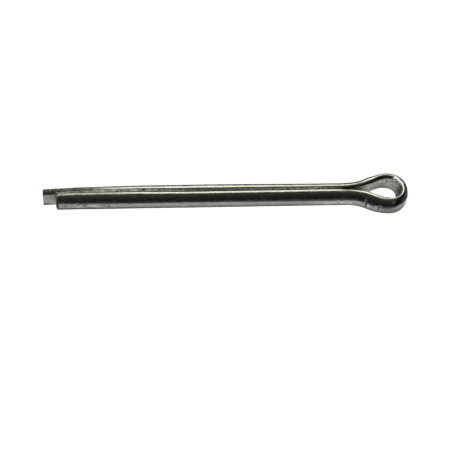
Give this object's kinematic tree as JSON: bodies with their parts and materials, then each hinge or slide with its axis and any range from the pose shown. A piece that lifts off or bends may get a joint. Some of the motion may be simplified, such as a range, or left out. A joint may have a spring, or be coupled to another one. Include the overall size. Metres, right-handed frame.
{
  "type": "cotter pin",
  "caption": "Straight split pin of half-round wire with a teardrop eye and one leg longer than the other.",
  "frame": {"origin": "on the axis of the round shank, at the plane where the flared throat seats on the rim of its hole", "axes": "+X along the shank from the leg ends to the eye, +Y across the eye from the short leg to the long leg, +Z square to the plane of the eye"},
  "size_m": [0.0754, 0.0091, 0.0042],
  "materials": {
    "zinc_plated_steel": "zinc plated, drawn wire with bending and shearing marks"
  },
  "bodies": {
    "root": {"cotter_pin": "zinc_plated_steel"}
  },
  "joints": []
}
